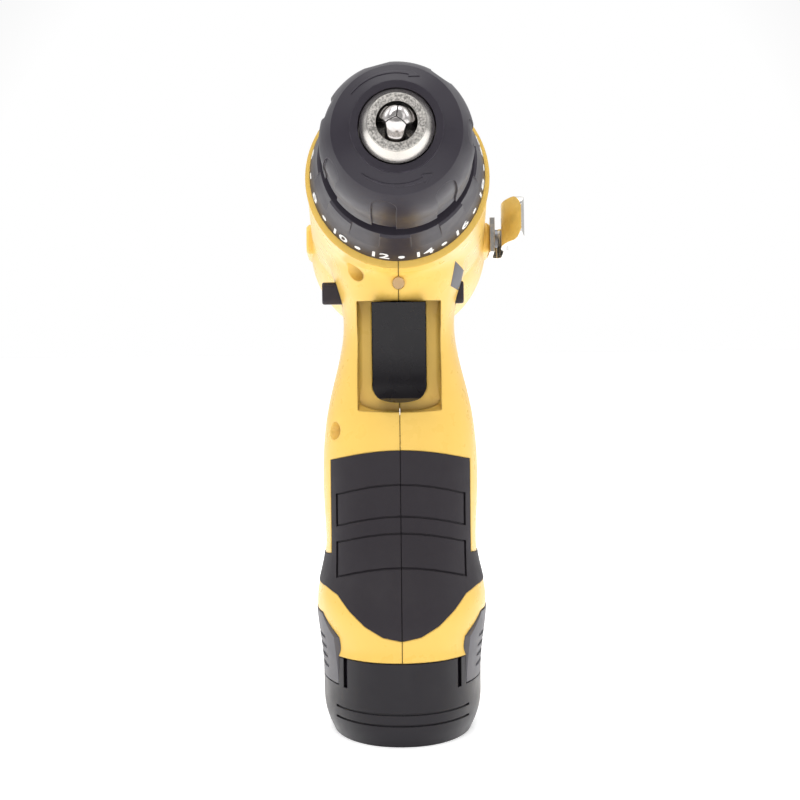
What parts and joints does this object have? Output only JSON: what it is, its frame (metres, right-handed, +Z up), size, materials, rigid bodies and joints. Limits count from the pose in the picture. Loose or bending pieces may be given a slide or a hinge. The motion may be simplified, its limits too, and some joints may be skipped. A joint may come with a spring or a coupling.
{
  "type": "cordless drill",
  "caption": "Pistol-grip cordless drill driver with keyless chuck, torque collar, two-speed planetary gearbox, trigger, belt hook and slide-out handle battery.",
  "frame": {"origin": "centre of the battery's flat foot, on the surface the drill stands on", "axes": "+Z up, the chuck points to -Y and 8 degrees above it, +X to the left of the person holding the drill"},
  "size_m": [0.0701, 0.1842, 0.1945],
  "materials": {
    "yellow_plastic": "satin",
    "black_rubber": "matte",
    "black_plastic": "satin",
    "grey_plastic": "satin",
    "inner_plastic": "matte",
    "bright_steel": "satin",
    "machined_steel": "satin",
    "dark_steel": "satin",
    "chrome_steel": "polished",
    "copper": "satin",
    "contact_brass": "satin",
    "magnet_grey": "matte",
    "cell_wrap": "satin",
    "wire_sheath": "matte",
    "lamp_lens": "clear",
    "dial_print": "satin"
  },
  "bodies": {
    "housing": {"housing_left": "yellow_plastic", "housing_right": "yellow_plastic", "grip_left": "black_rubber", "grip_right": "black_rubber", "gearbox_case": "inner_plastic", "output_ring_gear": "machined_steel", "motor_plate": "machined_steel", "motor_can": "machined_steel", "motor_magnets": "magnet_grey", "motor_end_bell": "inner_plastic", "front_bearing": "machined_steel", "motor_bearings": "machined_steel", "switch_body": "inner_plastic", "led_lamp": "lamp_lens", "terminal_block": "inner_plastic", "belt_hook": "chrome_steel", "hook_screw": "dark_steel", "housing_screws": "dark_steel", "clutch_washer": "machined_steel", "clutch_spring": "dark_steel", "clutch_balls": "machined_steel", "motor_leads": "wire_sheath", "trigger_spring": "dark_steel"},
    "spindle": {"output_spindle": "machined_steel", "chuck_body": "bright_steel", "chuck_screw": "dark_steel", "chuck_rear_ring": "black_plastic"},
    "sleeve": {"chuck_sleeve": "black_plastic", "jaw_nut": "machined_steel"},
    "jaw_1": {"chuck_jaw_1": "bright_steel"},
    "jaw_2": {"chuck_jaw_2": "bright_steel"},
    "jaw_3": {"chuck_jaw_3": "bright_steel"},
    "collar": {"clutch_collar": "black_plastic"},
    "clutch_nut": {"clutch_nut": "machined_steel"},
    "rotor": {"armature_core": "machined_steel", "armature_windings": "copper", "commutator": "copper", "motor_shaft": "machined_steel", "motor_pinion": "machined_steel", "cooling_fan": "inner_plastic"},
    "motor_carrier": {"motor_stage_carrier": "machined_steel"},
    "motor_planet_1": {"motor_planet_1": "machined_steel"},
    "motor_planet_2": {"motor_planet_2": "machined_steel"},
    "motor_planet_3": {"motor_planet_3": "machined_steel"},
    "output_planet_1": {"output_planet_1": "machined_steel"},
    "output_planet_2": {"output_planet_2": "machined_steel"},
    "output_planet_3": {"output_planet_3": "machined_steel"},
    "speed_selector": {"speed_selector": "black_plastic", "shift_wire": "dark_steel", "shift_ring_gear": "machined_steel"},
    "trigger": {"trigger": "black_plastic"},
    "direction_selector": {"direction_selector": "black_plastic"},
    "battery": {"battery_base": "black_plastic", "battery_post": "black_plastic", "battery_cells": "cell_wrap", "battery_contacts": "contact_brass"},
    "latch_left": {"latch_left": "grey_plastic"},
    "latch_right": {"latch_right": "grey_plastic"}
  },
  "joints": [
    {"name": "spindle_spin", "type": "hinge", "parent": "housing", "child": "spindle", "pos_m": [0, -0.098, 0.1765], "axis": [0, 0.9903, -0.1392], "continuous": true},
    {"name": "sleeve_turn", "type": "hinge", "parent": "spindle", "child": "sleeve", "pos_m": [0, -0.098, 0.1765], "axis": [0, -0.9903, 0.1392], "range_deg": [0, 2754]},
    {"name": "jaw_1_slide", "type": "slide", "parent": "spindle", "child": "jaw_1", "axis": [-0.0377, 0.8991, -0.4361], "range_m": [0, 0.0153]},
    {"name": "jaw_2_slide", "type": "slide", "parent": "spindle", "child": "jaw_2", "axis": [-0.2468, 0.9677, 0.0518], "range_m": [0, 0.0153]},
    {"name": "jaw_3_slide", "type": "slide", "parent": "spindle", "child": "jaw_3", "axis": [0.2845, 0.9586, -0.0128], "range_m": [0, 0.0153]},
    {"name": "collar_turn", "type": "hinge", "parent": "housing", "child": "collar", "pos_m": [0, -0.098, 0.1765], "axis": [0, -0.9903, 0.1392], "range_deg": [-345, 0]},
    {"name": "clutch_nut_slide", "type": "slide", "parent": "collar", "child": "clutch_nut", "axis": [0, 0.9903, -0.1392], "range_m": [0, 0.00385], "deforming": ["clutch_spring"]},
    {"name": "rotor_spin", "type": "hinge", "parent": "housing", "child": "rotor", "pos_m": [0, -0.098, 0.1765], "axis": [0, 0.9903, -0.1392], "continuous": true},
    {"name": "motor_carrier_spin", "type": "hinge", "parent": "housing", "child": "motor_carrier", "pos_m": [0, -0.098, 0.1765], "axis": [0, 0.9903, -0.1392], "continuous": true},
    {"name": "output_planet_1_spin", "type": "hinge", "parent": "spindle", "child": "output_planet_1", "pos_m": [0.00945, -0.098, 0.1765], "axis": [0, 0.9903, -0.1392], "continuous": true},
    {"name": "motor_planet_1_spin", "type": "hinge", "parent": "motor_carrier", "child": "motor_planet_1", "pos_m": [0.00945, -0.098, 0.1765], "axis": [0, 0.9903, -0.1392], "continuous": true},
    {"name": "output_planet_2_spin", "type": "hinge", "parent": "spindle", "child": "output_planet_2", "pos_m": [-0.00473, -0.09914, 0.1684], "axis": [0, 0.9903, -0.1392], "continuous": true},
    {"name": "motor_planet_2_spin", "type": "hinge", "parent": "motor_carrier", "child": "motor_planet_2", "pos_m": [-0.00473, -0.09914, 0.1684], "axis": [0, 0.9903, -0.1392], "continuous": true},
    {"name": "output_planet_3_spin", "type": "hinge", "parent": "spindle", "child": "output_planet_3", "pos_m": [-0.00473, -0.09686, 0.1846], "axis": [0, 0.9903, -0.1392], "continuous": true},
    {"name": "motor_planet_3_spin", "type": "hinge", "parent": "motor_carrier", "child": "motor_planet_3", "pos_m": [-0.00473, -0.09686, 0.1846], "axis": [0, 0.9903, -0.1392], "continuous": true},
    {"name": "speed_shift", "type": "slide", "parent": "housing", "child": "speed_selector", "axis": [0, -0.9903, 0.1392], "range_m": [0, 0.004]},
    {"name": "trigger_pull", "type": "slide", "parent": "housing", "child": "trigger", "axis": [0, 1, 0], "range_m": [0, 0.006], "stiffness_N_per_m": 800, "springref_m": -0.004, "deforming": ["trigger_spring"]},
    {"name": "direction_slide", "type": "slide", "parent": "housing", "child": "direction_selector", "axis": [1, 0, 0], "range_m": [0, 0.0035]},
    {"name": "battery_release", "type": "slide", "parent": "housing", "child": "battery", "axis": [0, 0, -1], "range_m": [0, 0.095]},
    {"name": "latch_left_press", "type": "slide", "parent": "battery", "child": "latch_left", "axis": [-1, 0, 0], "range_m": [0, 0.0015], "stiffness_N_per_m": 1500, "springref_m": -0.001},
    {"name": "latch_right_press", "type": "slide", "parent": "battery", "child": "latch_right", "axis": [1, 0, 0], "range_m": [0, 0.0015], "stiffness_N_per_m": 1500, "springref_m": -0.001}
  ],
  "couplings": [
    {"joint": "jaw_1_slide", "follows": "sleeve_turn", "m_per_rad": 0.00031831},
    {"joint": "jaw_2_slide", "follows": "sleeve_turn", "m_per_rad": 0.00031831},
    {"joint": "jaw_3_slide", "follows": "sleeve_turn", "m_per_rad": 0.00031831},
    {"joint": "clutch_nut_slide", "follows": "collar_turn", "m_per_rad": -0.00063662},
    {"joint": "rotor_spin", "follows": "spindle_spin", "ratio": 20.25},
    {"joint": "motor_carrier_spin", "follows": "spindle_spin", "ratio": 4.5},
    {"joint": "output_planet_1_spin", "follows": "spindle_spin", "ratio": -2.8},
    {"joint": "motor_planet_1_spin", "follows": "spindle_spin", "ratio": -12.6},
    {"joint": "output_planet_2_spin", "follows": "spindle_spin", "ratio": -2.8},
    {"joint": "motor_planet_2_spin", "follows": "spindle_spin", "ratio": -12.6},
    {"joint": "output_planet_3_spin", "follows": "spindle_spin", "ratio": -2.8},
    {"joint": "motor_planet_3_spin", "follows": "spindle_spin", "ratio": -12.6}
  ]
}
